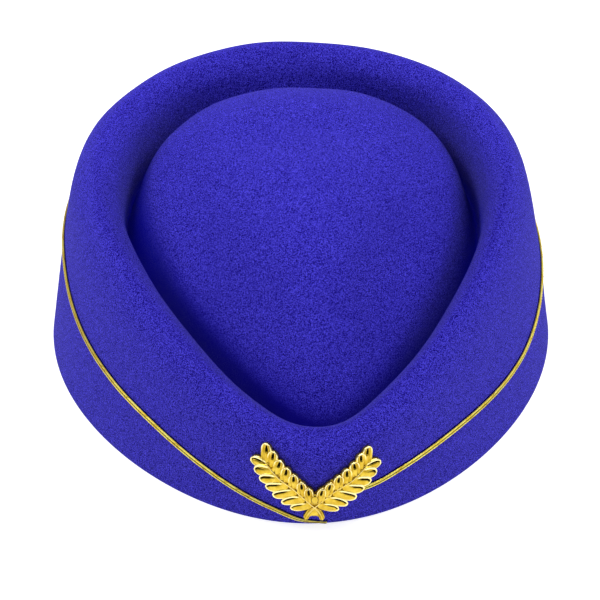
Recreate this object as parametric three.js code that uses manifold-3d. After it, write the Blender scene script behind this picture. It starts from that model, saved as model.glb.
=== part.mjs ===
import * as THREE from 'three';
import { mergeVertices } from 'three/addons/utils/BufferGeometryUtils.js';
import Module from 'manifold-3d';

// A flight attendant's hat: one shell of blocked wool felt with a teardrop crown and a rolled rim, a gold
// cord sewn round the wall and a laurel badge pinned to the front.
// Millimetres, +Z up, the front faces -Y. Angles round the hat start at the front and grow towards +X.

const wasm = await Module();
wasm.setup();

const feltThickness = 2.4;
const seatGap = 0.3;

// The felt's outer face follows these rings. middleX is where a ring's middle lies, halfWidth its reach to
// either side, front and back its reach along Y, and widest where along Y it is widest. frontPoint draws
// the front in to a point and fills the back, endPoint draws in both, and the heights are those at the
// front, sides and back. The crown was blocked a little to one side of the opening's middle.
const openingRing = {
  middleX: 0, halfWidth: 89.3, front: 93.1, back: 95.5, widest: 2.2, frontPoint: 0.023, endPoint: 0.024,
  frontHeight: 0, sideHeight: 0, backHeight: 0,
};
const crestRing = {
  middleX: 0, halfWidth: 70.1, front: 89.4, back: 81.1, widest: -1.2, frontPoint: 0.104, endPoint: 0.043,
  frontHeight: 40.5, sideHeight: 67.4, backHeight: 70.5,
};
const gutterRing = {
  middleX: 1.2, halfWidth: 61.5, front: 76, back: 68.9, widest: 9.9, frontPoint: 0.11, endPoint: 0.046,
  frontHeight: 18, sideHeight: 29, backHeight: 50.5,
};
const crownFootRing = {
  middleX: 1.2, halfWidth: 53.5, front: 66, back: 62.9, widest: 9.9, frontPoint: 0.11, endPoint: 0.046,
  frontHeight: 27, sideHeight: 49, backHeight: 64.6,
};
const crownShoulderRing = {
  middleX: 1.2, halfWidth: 39.5, front: 49, back: 48.3, widest: 9.9, frontPoint: 0.11, endPoint: 0.046,
  frontHeight: 42, sideHeight: 58.4, backHeight: 71.2,
};
const domeRing = {
  middleX: 1.2, halfWidth: 19.8, front: 20.4, back: 28.2, widest: 9, frontPoint: 0.066, endPoint: 0.028,
  frontHeight: 62.7, sideHeight: 67.2, backHeight: 70.6,
};
const crownTop = new THREE.Vector3(1.2, 8.2, 70.4);

// How far the rolled rim falls away on either side of its crest, and how much the wall bulges.
const rimRoll = { out: 6.2, outDrop: 5.2, in: 6.5, inDrop: 5.5, inShift: 0.6 };
const wallBulge = 1.4;

const feltStations = 56;
const outerRowsPerBand = 3;
const innerRowsPerBand = 2;

// The cord's route: the turn round the hat in degrees and its height on the wall. It starts at the
// opening's edge under the badge, goes up round the back and comes down to end behind the badge's leaf.
const cordRoute = [
  { turn: 2.4, height: 1.2 },
  { turn: -4, height: 2.5 },
  { turn: -12, height: 7.5 },
  { turn: -24, height: 13.5 },
  { turn: -36, height: 18.3 },
  { turn: -48, height: 22.4 },
  { turn: -60, height: 25.2 },
  { turn: -72, height: 28.9 },
  { turn: -84, height: 34 },
  { turn: -96, height: 40.4 },
  { turn: -115, height: 45.5 },
  { turn: -145, height: 50 },
  { turn: -180, height: 51.5 },
  { turn: -215, height: 48 },
  { turn: -245, height: 40 },
  { turn: -268, height: 31 },
  { turn: -280, height: 24.6 },
  { turn: -290, height: 21.6 },
  { turn: -300, height: 20.6 },
  { turn: -320, height: 21 },
  { turn: -335, height: 19.7 },
  { turn: -343, height: 17.8 },
  { turn: -350, height: 16.8 },
];
const cord = { width: 2, height: 1.1, groove: 0.35, steps: 92, sides: 8, endScale: 0.6 };

// The badge's own frame: x across from its middle, z up the wall, and out away from the felt.
// Its foot stands a little to the right.
const badge = {
  middleX: -1.6, tiltDegrees: 3, tiltHeight: 20, footShift: 0.5, restGap: 0.35, overCord: 1.45,
};

// One stem, from its foot over the crossing to its last leaf. The other is its mirror.
const stemPoints = [
  { x: -2.8, z: 6.4 },
  { x: 0, z: 12.1 },
  { x: 7.8, z: 21.9 },
  { x: 15.8, z: 30 },
];
const stem = { footHalfWidth: 1, tipHalfWidth: 0.6, height: 1.7, steps: 12 };

// The leaves of one branch: where each grows from the stem (0 at the foot, 1 at the stem's end) and where
// its tip lies. First the leaf at the end, then the outer leaves and the inner ones, from the top down.
const branchLeaves = [
  { grows: 1, tipX: 16.2, tipZ: 36.1 },
  { grows: 0.93, tipX: 20.2, tipZ: 29.2 },
  { grows: 0.89, tipX: 18.8, tipZ: 25.8 },
  { grows: 0.8, tipX: 17.1, tipZ: 23.4 },
  { grows: 0.71, tipX: 15.1, tipZ: 20.7 },
  { grows: 0.59, tipX: 13, tipZ: 17.8 },
  { grows: 0.49, tipX: 10.4, tipZ: 14.4 },
  { grows: 0.4, tipX: 7.7, tipZ: 11 },
  { grows: 0.92, tipX: 13.6, tipZ: 34.6 },
  { grows: 0.84, tipX: 11.3, tipZ: 32.2 },
  { grows: 0.74, tipX: 9.3, tipZ: 30.1 },
  { grows: 0.63, tipX: 7.1, tipZ: 27.7 },
  { grows: 0.51, tipX: 4.6, tipZ: 24.6 },
  { grows: 0.41, tipX: 2.4, tipZ: 22 },
];
const leaf = {
  halfWidth: 1.95, rimHeight: 1.25, veinHeight: 0.75, rimPlace: 0.74, shingleStep: 0.15, steps: 5,
};

// A thin plate joins the leaves of each branch, and another fills the fork above the feet.
const plate = { start: 0.38, end: 0.95, halfWidth: 3.4, thickness: 0.75, steps: 6 };
const forkPlate = { low: 8, high: 14, halfWidth: 2, steps: 2 };

// The badge's bodies start at depths this far apart, so that no two backs lie in one plane.
const backStep = 0.04;
const knob = { z: 16.4, halfWidth: 1.25, halfHeight: 2, out: 1.1, depth: 1.2 };

// The badge's post goes through the felt into a clutch inside the hat.
const post = { z: 15.4, radius: 0.6, reach: 5, rootOut: 0.9 };
const clutch = { radius: 4.5, mouthRadius: 2.6, depth: 3, shoulderDepth: 0.9, boreFloor: 0.5, seatGap: 0.4 };
const roundSides = 14;

const degrees = Math.PI / 180;

function ringPoint(ring, angle) {
  const meanReach = (ring.front + ring.back) / 2;
  const middleY = (ring.back - ring.front) / 2;
  const wave = Math.sin(angle) - ring.frontPoint * Math.sin(2 * angle) - ring.endPoint * Math.sin(3 * angle);
  const heightMean = (ring.frontHeight + 2 * ring.sideHeight + ring.backHeight) / 4;
  const heightLean = (ring.frontHeight - ring.backHeight) / 2;
  const heightSaddle = (ring.frontHeight - 2 * ring.sideHeight + ring.backHeight) / 4;
  return new THREE.Vector3(
    ring.middleX + ring.halfWidth * wave / (1 + ring.endPoint),
    middleY - meanReach * Math.cos(angle) + (ring.widest - middleY) * Math.sin(angle) ** 2,
    heightMean + heightLean * Math.cos(angle) + heightSaddle * Math.cos(2 * angle),
  );
}

function insetRing(ring, inward, drop, shiftX) {
  return {
    ...ring,
    middleX: ring.middleX + shiftX,
    halfWidth: ring.halfWidth - inward,
    front: ring.front - inward,
    back: ring.back - inward,
    frontHeight: ring.frontHeight - drop,
    sideHeight: ring.sideHeight - drop,
    backHeight: ring.backHeight - drop,
  };
}

const shoulderRing = insetRing(crestRing, -rimRoll.out, rimRoll.outDrop, 0);
const innerRimRing = insetRing(crestRing, rimRoll.in, rimRoll.inDrop, rimRoll.inShift);

// The felt's profile at one angle, from the opening's edge to the crown's top and a point past it.
function feltProfile(angle) {
  const edge = ringPoint(openingRing, angle);
  const shoulder = ringPoint(shoulderRing, angle);
  const wall = edge.clone().lerp(shoulder, 0.5);
  wall.x += wallBulge * Math.sin(angle);
  wall.y -= wallBulge * Math.cos(angle);
  return [
    edge,
    wall,
    shoulder,
    ringPoint(crestRing, angle),
    ringPoint(innerRimRing, angle),
    ringPoint(gutterRing, angle),
    ringPoint(crownFootRing, angle),
    ringPoint(crownShoulderRing, angle),
    ringPoint(domeRing, angle),
    crownTop.clone(),
    ringPoint(domeRing, angle + Math.PI),
  ];
}
const feltBands = 9;
const wallBands = 2;

// A point of the outer face. Band counts the profile's bands from the opening, a whole number on a ring.
function feltPoint(angle, band) {
  const curve = new THREE.CatmullRomCurve3(feltProfile(angle), false, 'centripetal');
  return curve.getPoint(band / (feltBands + 1));
}

function feltNormal(angle, band) {
  const step = 0.004;
  const low = Math.max(band - step, 0);
  const along = feltPoint(angle, band + step).sub(feltPoint(angle, low));
  const around = feltPoint(angle + step, band).sub(feltPoint(angle - step, band));
  return around.cross(along).normalize();
}

// The band at which the wall reaches a height, at one angle.
function wallBand(angle, height) {
  const step = 0.001;
  let band = wallBands * height / shoulderRing.sideHeight;
  for (let i = 0; i < 8; i += 1) {
    const here = feltPoint(angle, band).z;
    const slope = (feltPoint(angle, band + step).z - here) / step;
    band += (height - here) / slope;
  }
  return band;
}

// The wall's point and normal in front of a given x and height, near the hat's front.
function frontWall(x, height) {
  const step = 0.001;
  let angle = x / openingRing.halfWidth;
  let band = wallBand(angle, height);
  for (let i = 0; i < 8; i += 1) {
    const here = feltPoint(angle, band).x;
    const slope = (feltPoint(angle + step, band).x - here) / step;
    angle += (x - here) / slope;
    band = wallBand(angle, height);
  }
  return { point: feltPoint(angle, band), normal: feltNormal(angle, band) };
}

// A closed body from rows of points, closed at both ends on a point.
function closedBody(rows, startPoint, endPoint) {
  const count = rows[0].length;
  const points = [startPoint, ...rows.flat(), endPoint];
  const index = [];
  for (let k = 0; k < count; k += 1) {
    const next = (k + 1) % count;
    index.push(0, 1 + next, 1 + k);
    for (let row = 0; row < rows.length - 1; row += 1) {
      const low = 1 + row * count;
      const high = low + count;
      index.push(low + k, low + next, high + k);
      index.push(low + next, high + next, high + k);
    }
    const last = 1 + (rows.length - 1) * count;
    index.push(last + k, last + next, points.length - 1);
  }
  const geometry = new THREE.BufferGeometry().setFromPoints(points);
  geometry.setIndex(index);
  return geometry;
}

function middleOf(points) {
  const sum = points.reduce((total, point) => total.add(point), new THREE.Vector3());
  return sum.divideScalar(points.length);
}

function sweptBody(rows) {
  return closedBody(rows, middleOf(rows[0]), middleOf(rows[rows.length - 1]));
}

function toSolid(geometry) {
  const bare = geometry.clone();
  bare.deleteAttribute('normal');
  bare.deleteAttribute('uv');
  const merged = mergeVertices(bare, 1e-5);
  return new wasm.Manifold(new wasm.Mesh({
    numProp: 3,
    vertProperties: new Float32Array(merged.getAttribute('position').array),
    triVerts: new Uint32Array(merged.getIndex().array),
  }));
}

function fromSolid(solid) {
  const mesh = solid.getMesh();
  const geometry = new THREE.BufferGeometry();
  geometry.setAttribute('position', new THREE.BufferAttribute(mesh.vertProperties, 3));
  geometry.setIndex(new THREE.BufferAttribute(mesh.triVerts, 1));
  return geometry;
}

function feltRow(band, depth) {
  const row = [];
  for (let k = 0; k < feltStations; k += 1) {
    const angle = k / feltStations * 2 * Math.PI;
    const normal = feltNormal(angle, band);
    if (band === 0) normal.setZ(0).normalize();
    row.push(feltPoint(angle, band).addScaledVector(normal, -depth));
  }
  return row;
}

// The shell's rows run from the top of its outer face down to the edge and up inside to the top again.
function feltShell() {
  const rows = [];
  for (let k = feltBands * outerRowsPerBand - 1; k >= 0; k -= 1) rows.push(feltRow(k / outerRowsPerBand, 0));
  for (let k = 0; k < feltBands * innerRowsPerBand; k += 1) {
    rows.push(feltRow(k / innerRowsPerBand, feltThickness));
  }
  const innerTop = crownTop.clone();
  innerTop.z -= feltThickness;
  return closedBody(rows.map((row) => row.reverse()), crownTop, innerTop);
}

// A round body set along the badge's post, whose axis runs from the badge into the hat.
const postSeat = frontWall(badge.middleX, post.z);
function setOnPost(geometry, startDepth) {
  const inward = postSeat.normal.clone().negate();
  geometry.applyQuaternion(new THREE.Quaternion().setFromUnitVectors(new THREE.Vector3(0, 1, 0), inward));
  const start = postSeat.point.clone().addScaledVector(inward, startDepth);
  return geometry.translate(start.x, start.y, start.z);
}

function rod(radius, startDepth, endDepth) {
  const length = endDepth - startDepth;
  const geometry = new THREE.CylinderGeometry(radius, radius, length, roundSides);
  return setOnPost(geometry.translate(0, length / 2, 0), startDepth);
}

function feltBody() {
  const pinHole = rod(post.radius + seatGap, -1, feltThickness + 1);
  return fromSolid(toSolid(feltShell()).subtract(toSolid(pinHole)));
}

// The cord's section is two round strands side by side with a groove between them.
function cordSection(step) {
  const angle = step / cord.sides * 2 * Math.PI;
  const across = Math.cos(angle) * cord.width / 2;
  const strand = Math.exp(-((across / (cord.width * 0.15)) ** 2));
  const lift = Math.sin(angle) > 0 ? Math.sin(angle) * (1 - cord.groove * strand) : Math.sin(angle);
  return { across, out: (1 + lift) * cord.height / 2 };
}

function goldCord() {
  const route = new THREE.CatmullRomCurve3(
    cordRoute.map((row) => new THREE.Vector3(row.turn, row.height, 0)), false, 'centripetal',
  );
  const seats = [];
  for (let k = 0; k <= cord.steps; k += 1) {
    const place = route.getPointAt(k / cord.steps);
    const angle = place.x * degrees;
    const band = wallBand(angle, place.y);
    seats.push({ point: feltPoint(angle, band), normal: feltNormal(angle, band) });
  }
  const rows = seats.map((seat, k) => {
    const before = seats[Math.max(k - 1, 0)].point;
    const after = seats[Math.min(k + 1, cord.steps)].point;
    const sideways = seat.normal.clone().cross(after.clone().sub(before)).normalize();
    const size = k === 0 || k === cord.steps ? cord.endScale : 1;
    const row = [];
    for (let side = 0; side < cord.sides; side += 1) {
      const { across, out } = cordSection(side);
      const point = seat.point.clone().addScaledVector(sideways, across * size);
      row.push(point.addScaledVector(seat.normal, seatGap + out * size));
    }
    return row;
  });
  return sweptBody(rows);
}

// How far the badge's back stands off the felt. Its feet and lower leaves clear the cord behind them.
function badgeStandoff(x, z) {
  const { smoothstep } = THREE.MathUtils;
  const leaves = smoothstep(Math.abs(x), 6, 13) * (1 - smoothstep(z, 22, 34));
  const feet = 1 - smoothstep(z, 5, 10);
  return badge.restGap + badge.overCord * Math.min(leaves + feet, 1);
}

// A point of the badge, from its own frame to the hat's, bent to the felt's front.
function badgePoint(x, z, out) {
  const tilt = -badge.tiltDegrees * degrees;
  const shifted = x + badge.footShift * (1 - THREE.MathUtils.smoothstep(z, 8, 20));
  const up = z - badge.tiltHeight;
  const turnedX = shifted * Math.cos(tilt) - up * Math.sin(tilt);
  const turnedZ = shifted * Math.sin(tilt) + up * Math.cos(tilt);
  const wall = frontWall(badge.middleX + turnedX, badge.tiltHeight + turnedZ);
  return wall.point.addScaledVector(wall.normal, badgeStandoff(x, z) + out);
}

const stemCurve = new THREE.SplineCurve(stemPoints.map((point) => new THREE.Vector2(point.x, point.z)));

// A relief body that runs along a flat path, from sections of its half width, height and vein.
function reliefBody(side, base, placeAt, sectionAt, steps) {
  const rows = [];
  for (let k = 0; k <= steps; k += 1) {
    const { x, z, direction } = placeAt(k / steps);
    const section = sectionAt(k / steps).map(({ across, out }) => badgePoint(
      side * (x - across * Math.sin(direction)), z + across * Math.cos(direction), base + out,
    ));
    rows.push(side > 0 ? section : section.reverse());
  }
  return sweptBody(rows);
}

function stemPlace(along) {
  const point = stemCurve.getPoint(along);
  const heading = stemCurve.getTangent(along);
  return { x: point.x, z: point.y, direction: Math.atan2(heading.y, heading.x) };
}

function stemBody(side) {
  const sectionAt = (along) => {
    const halfWidth = THREE.MathUtils.lerp(stem.footHalfWidth, stem.tipHalfWidth, along);
    return [
      { across: -halfWidth, out: 0 },
      { across: halfWidth, out: 0 },
      { across: halfWidth * 0.85, out: stem.height * 0.7 },
      { across: halfWidth * 0.35, out: stem.height },
      { across: -halfWidth * 0.35, out: stem.height },
      { across: -halfWidth * 0.85, out: stem.height * 0.7 },
    ];
  };
  const base = side > 0 ? 0 : -2 * backStep;
  return reliefBody(side, base, stemPlace, sectionAt, stem.steps);
}

// A leaf is widest past its middle, with a raised rim and a hollow that holds a low vein.
function leafBody(side, row, index) {
  const root = stemCurve.getPoint(row.grows);
  const direction = Math.atan2(row.tipZ - root.y, row.tipX - root.x);
  const placeAt = (along) => ({
    x: THREE.MathUtils.lerp(root.x, row.tipX, along),
    z: THREE.MathUtils.lerp(root.y, row.tipZ, along),
    direction,
  });
  const sectionAt = (along) => {
    const fullness = Math.sin(Math.PI * (0.1 + 0.86 * along ** 1.25)) ** 0.8;
    const halfWidth = leaf.halfWidth * fullness;
    return [
      { across: -halfWidth, out: 0 },
      { across: halfWidth, out: 0 },
      { across: halfWidth * leaf.rimPlace, out: leaf.rimHeight },
      { across: 0, out: leaf.veinHeight },
      { across: -halfWidth * leaf.rimPlace, out: leaf.rimHeight },
    ];
  };
  return reliefBody(side, leaf.shingleStep * (1 + index % 2), placeAt, sectionAt, leaf.steps);
}

function plateSection(halfWidth) {
  return [
    { across: -halfWidth, out: 0 },
    { across: halfWidth, out: 0 },
    { across: halfWidth, out: plate.thickness },
    { across: -halfWidth, out: plate.thickness },
  ];
}

function branchPlate(side) {
  const placeAt = (along) => stemPlace(THREE.MathUtils.lerp(plate.start, plate.end, along));
  const base = side > 0 ? backStep : 2 * backStep;
  return reliefBody(side, base, placeAt, () => plateSection(plate.halfWidth), plate.steps);
}

function forkBody() {
  const placeAt = (along) => ({
    x: 0,
    z: THREE.MathUtils.lerp(forkPlate.low, forkPlate.high, along),
    direction: Math.PI / 2,
  });
  return reliefBody(1, 3 * backStep, placeAt, () => plateSection(forkPlate.halfWidth), forkPlate.steps);
}

function knobBody() {
  const geometry = new THREE.SphereGeometry(1, 10, 8);
  const place = geometry.getAttribute('position');
  for (let k = 0; k < place.count; k += 1) {
    const out = knob.out + place.getY(k) * knob.depth;
    const point = badgePoint(place.getX(k) * knob.halfWidth, knob.z - place.getZ(k) * knob.halfHeight, out);
    place.setXYZ(k, point.x, point.y, point.z);
  }
  return geometry;
}

function wreathBadge() {
  const pieces = [forkBody(), knobBody(), rod(post.radius, -badge.restGap - post.rootOut, post.reach)];
  for (const side of [1, -1]) {
    pieces.push(stemBody(side), branchPlate(side));
    branchLeaves.forEach((row, index) => pieces.push(leafBody(side, row, index)));
  }
  return fromSolid(pieces.map(toSolid).reduce((whole, piece) => whole.add(piece)));
}

function pinClutch() {
  const front = feltThickness + clutch.seatGap;
  const floor = clutch.depth - clutch.boreFloor;
  const bore = post.radius + seatGap;
  const profile = [
    [0, floor],
    [bore, floor],
    [bore, 0],
    [clutch.mouthRadius, 0],
    [clutch.radius, clutch.shoulderDepth],
    [clutch.radius, clutch.depth],
    [0, clutch.depth],
  ].map(([radius, depth]) => new THREE.Vector2(radius, depth));
  return setOnPost(new THREE.LatheGeometry(profile, roundSides), front);
}

const royalBlueFelt = new THREE.MeshStandardMaterial({ color: 0x2f28a0, roughness: 0.95, metalness: 0 });
const goldThread = new THREE.MeshStandardMaterial({ color: 0xc9a227, roughness: 0.45, metalness: 0.6 });
const giltMetal = new THREE.MeshStandardMaterial({ color: 0xe8c44a, roughness: 0.25, metalness: 1 });
const steel = new THREE.MeshStandardMaterial({ color: 0xb8b8b4, roughness: 0.35, metalness: 1 });

function namedMesh(name, geometry, material) {
  const mesh = new THREE.Mesh(geometry, material);
  mesh.name = name;
  return mesh;
}

const hat = new THREE.Group();
hat.add(namedMesh('felt_body', feltBody(), royalBlueFelt));
hat.add(namedMesh('gold_cord', goldCord(), goldThread));
hat.add(namedMesh('wreath_badge', wreathBadge(), giltMetal));
hat.add(namedMesh('pin_clutch', pinClutch(), steel));

// The origin is under the middle of the whole hat, at the edge of the opening.
const reach = new THREE.Box3().setFromObject(hat);
hat.position.set(-(reach.min.x + reach.max.x) / 2, -(reach.min.y + reach.max.y) / 2, -reach.min.z);

export default hat;
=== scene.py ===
import math

import bpy
import numpy as np
from mathutils import Matrix, Vector


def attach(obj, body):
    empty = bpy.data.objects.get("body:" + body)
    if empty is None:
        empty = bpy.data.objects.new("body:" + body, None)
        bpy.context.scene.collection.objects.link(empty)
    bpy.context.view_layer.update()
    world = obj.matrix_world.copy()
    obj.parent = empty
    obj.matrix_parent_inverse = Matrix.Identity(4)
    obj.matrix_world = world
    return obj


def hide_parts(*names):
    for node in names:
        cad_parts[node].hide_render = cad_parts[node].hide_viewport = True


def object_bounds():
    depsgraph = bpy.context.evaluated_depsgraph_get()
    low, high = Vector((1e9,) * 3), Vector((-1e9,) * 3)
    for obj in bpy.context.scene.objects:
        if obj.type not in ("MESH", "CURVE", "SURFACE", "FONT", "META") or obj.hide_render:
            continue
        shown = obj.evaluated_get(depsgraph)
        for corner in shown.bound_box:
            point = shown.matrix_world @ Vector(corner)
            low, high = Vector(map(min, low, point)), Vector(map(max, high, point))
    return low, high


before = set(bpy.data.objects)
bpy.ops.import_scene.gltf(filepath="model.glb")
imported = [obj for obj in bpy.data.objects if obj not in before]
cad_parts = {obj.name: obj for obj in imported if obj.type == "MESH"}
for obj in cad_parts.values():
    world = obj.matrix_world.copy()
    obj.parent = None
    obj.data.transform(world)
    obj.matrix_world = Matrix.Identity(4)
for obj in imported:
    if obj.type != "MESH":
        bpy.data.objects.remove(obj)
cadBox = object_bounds()
mm = 0.001
scene = bpy.context.scene
rootBody = "root"
print("frame loaded, CAD box", [[round(value, 4) for value in corner] for corner in cadBox])


# Helpers for node trees and meshes

def addNode(tree, kind, inputs=None, **settings):
    node = tree.nodes.new(kind)
    for name, value in settings.items():
        setattr(node, name, value)
    for key, value in (inputs or {}).items():
        socket = node.inputs[key]
        if isinstance(value, bpy.types.NodeSocket):
            tree.links.new(value, socket)
        else:
            socket.default_value = value
    return node


def addMath(tree, operation, *values):
    return addNode(tree, "ShaderNodeMath", dict(enumerate(values)), operation=operation).outputs[0]


def addVectorMath(tree, operation, *values):
    inputs = dict(enumerate(values))
    return addNode(tree, "ShaderNodeVectorMath", inputs, operation=operation).outputs[0]


def dotProduct(tree, first, second):
    node = addNode(tree, "ShaderNodeVectorMath", {0: first, 1: second}, operation="DOT_PRODUCT")
    return node.outputs["Value"]


def scaleVector(tree, vector, factor):
    inputs = {"Vector": vector, "Scale": factor}
    return addNode(tree, "ShaderNodeVectorMath", inputs, operation="SCALE").outputs[0]


def mapRange(tree, value, start, end, low=0.0, high=1.0, **settings):
    return addNode(tree, "ShaderNodeMapRange", {
        "Value": value, "From Min": start, "From Max": end, "To Min": low, "To Max": high,
    }, **settings).outputs[0]


def mixColours(tree, factor, *colours):
    first, second = [
        colour if isinstance(colour, bpy.types.NodeSocket) else (*colour, 1) for colour in colours
    ]
    inputs = {0: factor, 6: first, 7: second}
    return addNode(tree, "ShaderNodeMix", inputs, data_type="RGBA").outputs[2]


def objectPlace(tree):
    return addNode(tree, "ShaderNodeTexCoord").outputs["Object"]


def surfaceMark(tree, name, output="Fac"):
    return addNode(tree, "ShaderNodeAttribute", attribute_name=name).outputs[output]


def readAttribute(tree, name, kind="FLOAT"):
    node = addNode(tree, "GeometryNodeInputNamedAttribute", {"Name": name}, data_type=kind)
    return node.outputs["Attribute"]


def addSockets(tree, rows):
    for name, direction, kind, value in rows:
        socket = tree.interface.new_socket(name, in_out=direction, socket_type="NodeSocket" + kind)
        if value is not None:
            socket.default_value = value


def meshPiece(name, points, faces, edges=()):
    mesh = bpy.data.meshes.new(name)
    mesh.from_pydata((np.asarray(points) * mm).tolist(), list(edges), faces)
    mesh.polygons.foreach_set("use_smooth", [True] * len(mesh.polygons))
    mesh.update()
    piece = bpy.data.objects.new(name, mesh)
    scene.collection.objects.link(piece)
    return piece


def storeValues(piece, name, values, kind="FLOAT"):
    attribute = piece.data.attributes.new(name, kind, "POINT")
    key = "vector" if kind == "FLOAT_VECTOR" else "value"
    attribute.data.foreach_set(key, np.asarray(values, dtype=float).ravel())


# The result of a piece's modifiers becomes its own mesh.
def bakeModifiers(piece):
    depsgraph = bpy.context.evaluated_depsgraph_get()
    result = bpy.data.meshes.new_from_object(
        piece.evaluated_get(depsgraph), preserve_all_data_layers=True, depsgraph=depsgraph,
    )
    piece.modifiers.clear()
    piece.data = result


def runNodes(piece, tree, values):
    modifier = piece.modifiers.new(tree.name, "NODES")
    modifier.node_group = tree
    for item in tree.interface.items_tree:
        if item.item_type == "SOCKET" and item.in_out == "INPUT" and item.name in values:
            modifier[item.identifier] = values[item.name]
    bakeModifiers(piece)


def dropPieces(*pieces):
    for piece in pieces:
        bpy.data.objects.remove(piece, do_unlink=True)


def gridFaces(rows, columns, closed=True):
    faces = []
    for row in range(rows - 1):
        for column in range(columns if closed else columns - 1):
            right = (column + 1) % columns
            low, high = row * columns, (row + 1) * columns
            faces.append((low + column, low + right, high + right, high + column))
    return faces


def smoothStep(values, low, high):
    share = np.clip((values - low) / (high - low), 0, 1)
    return share * share * (3 - 2 * share)


# A rounded swelling, 1 at its middle
def swelling(values, middle, width):
    return np.exp(-((values - middle) / width) ** 2)


# Points at a share of the way along a cubic, from its two ends and its tangents there
def cubicPoints(here, there, leave, arrive, share):
    square = 3 * (there - here) - 2 * leave - arrive
    cube = 2 * (here - there) + leave + arrive
    return here + share * (leave + share * (square + share * cube))


# The felt's outer face, in mm: it follows rings, from the opening to the crown.
# Angles start at the front and grow towards +X. A band is the stretch between two rings.
def ring(middleX, halfWidth, front, back, widest, frontPoint, endPoint, heights):
    return {
        "middleX": middleX, "halfWidth": halfWidth, "front": front, "back": back, "widest": widest,
        "frontPoint": frontPoint, "endPoint": endPoint, "heights": heights,
    }


feltRings = {
    "opening": ring(0, 89.3, 93.1, 95.5, 2.2, 0.023, 0.024, (0, 0, 0)),
    "shoulder": ring(0, 76.3, 95.6, 87.3, -1.2, 0.104, 0.043, (35.3, 62.2, 65.3)),
    "crest": ring(0, 70.1, 89.4, 81.1, -1.2, 0.104, 0.043, (40.5, 67.4, 70.5)),
    "innerRim": ring(0.6, 63.6, 82.9, 74.6, -1.2, 0.104, 0.043, (35, 61.9, 65)),
    "gutter": ring(1.2, 61.5, 76, 68.9, 9.9, 0.11, 0.046, (18, 29, 50.5)),
    "crownFoot": ring(1.2, 53.5, 66, 62.9, 9.9, 0.11, 0.046, (27, 49, 64.6)),
    "crownShoulder": ring(1.2, 39.5, 49, 48.3, 9.9, 0.11, 0.046, (42, 58.4, 71.2)),
    "dome": ring(1.2, 19.8, 20.4, 28.2, 9, 0.066, 0.028, (62.7, 67.2, 70.6)),
}
feltForm = {
    "thickness": 2.4,
    "wallBulge": 1.4,
    "crownTop": (1.2, 8.2, 70.4),
    "edgeRounding": 0.8,
    "aroundSteps": 256,
    "outerRowsPerBand": 11,
    "innerRowsPerBand": 6,
    "roundingSteps": 4,
    "wander": 0.22,          # how far the blocked felt strays from its form
}
feltBands = 9
wallBands = 2
# The form's own frame has the opening's back edge 95.5 mm from its origin.
formShift = np.array([0, cadBox[1].y / mm - feltRings["opening"]["back"], 0])
solverRounds = 8
solverStep = 0.001


def ringPoints(row, angles):
    meanReach = (row["front"] + row["back"]) / 2
    middleY = (row["back"] - row["front"]) / 2
    front, side, back = row["heights"]
    wave = np.sin(angles) - row["frontPoint"] * np.sin(2 * angles)
    wave = wave - row["endPoint"] * np.sin(3 * angles)
    x = row["middleX"] + row["halfWidth"] * wave / (1 + row["endPoint"])
    y = middleY - meanReach * np.cos(angles) + (row["widest"] - middleY) * np.sin(angles) ** 2
    z = (front + 2 * side + back) / 4 + (front - back) / 2 * np.cos(angles)
    z = z + (front - 2 * side + back) / 4 * np.cos(2 * angles)
    return np.stack([x, y, z], -1)


def feltProfile(angles):
    rings = {name: ringPoints(row, angles) for name, row in feltRings.items()}
    outward = np.stack([np.sin(angles), -np.cos(angles), 0 * angles], -1)
    wall = (rings["opening"] + rings["shoulder"]) / 2 + feltForm["wallBulge"] * outward
    top = np.broadcast_to(feltForm["crownTop"], wall.shape)
    past = ringPoints(feltRings["dome"], angles + math.pi)
    return np.array([
        rings["opening"], wall, rings["shoulder"], rings["crest"], rings["innerRim"], rings["gutter"],
        rings["crownFoot"], rings["crownShoulder"], rings["dome"], top, past,
    ])


def splinePoints(rings, places):
    last = len(rings) - 1
    index = np.clip(places.astype(int), 0, last - 1)
    pick = np.arange(len(places))
    share = (places - index)[:, None]
    here, there = rings[index, pick], rings[index + 1, pick]
    before = rings[np.maximum(index - 1, 0), pick]
    before = np.where((index > 0)[:, None], before, 2 * here - there)
    after = rings[np.minimum(index + 2, last), pick]
    after = np.where((index + 2 <= last)[:, None], after, 2 * there - here)

    def knot(a, b):
        return np.maximum(np.sqrt(np.linalg.norm(b - a, axis=-1, keepdims=True)), 1e-4)

    k0, k1, k2 = knot(before, here), knot(here, there), knot(there, after)
    leave = ((here - before) / k0 - (there - before) / (k0 + k1) + (there - here) / k1) * k1
    arrive = ((there - here) / k1 - (after - here) / (k1 + k2) + (after - there) / k2) * k1
    return cubicPoints(here, there, leave, arrive, share)


def feltPoints(angles, bands):
    return splinePoints(feltProfile(angles), bands)


def feltNormals(angles, bands):
    step = 0.004
    along = feltPoints(angles, bands + step) - feltPoints(angles, np.maximum(bands - step, 0))
    around = feltPoints(angles + step, bands) - feltPoints(angles - step, bands)
    normals = np.cross(around, along)
    return normals / np.linalg.norm(normals, axis=-1, keepdims=True)


# A slow unevenness in the blocked felt, as waves: strength, waves round the hat, slant and start.
# It fades out near the edge, the front wall and the crown's top, over the given stretches of bands.
feltWaves = [(1.0, 3, 1.3, 0.4), (0.8, 5, -2.1, 2.0), (0.6, 8, 3.3, 4.1), (0.45, 13, -1.7, 1.1)]
wanderFades = {"edge": (0.1, 0.8), "frontWall": (1.6, 2.4), "crownTop": (7.4, 8.8)}


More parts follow.
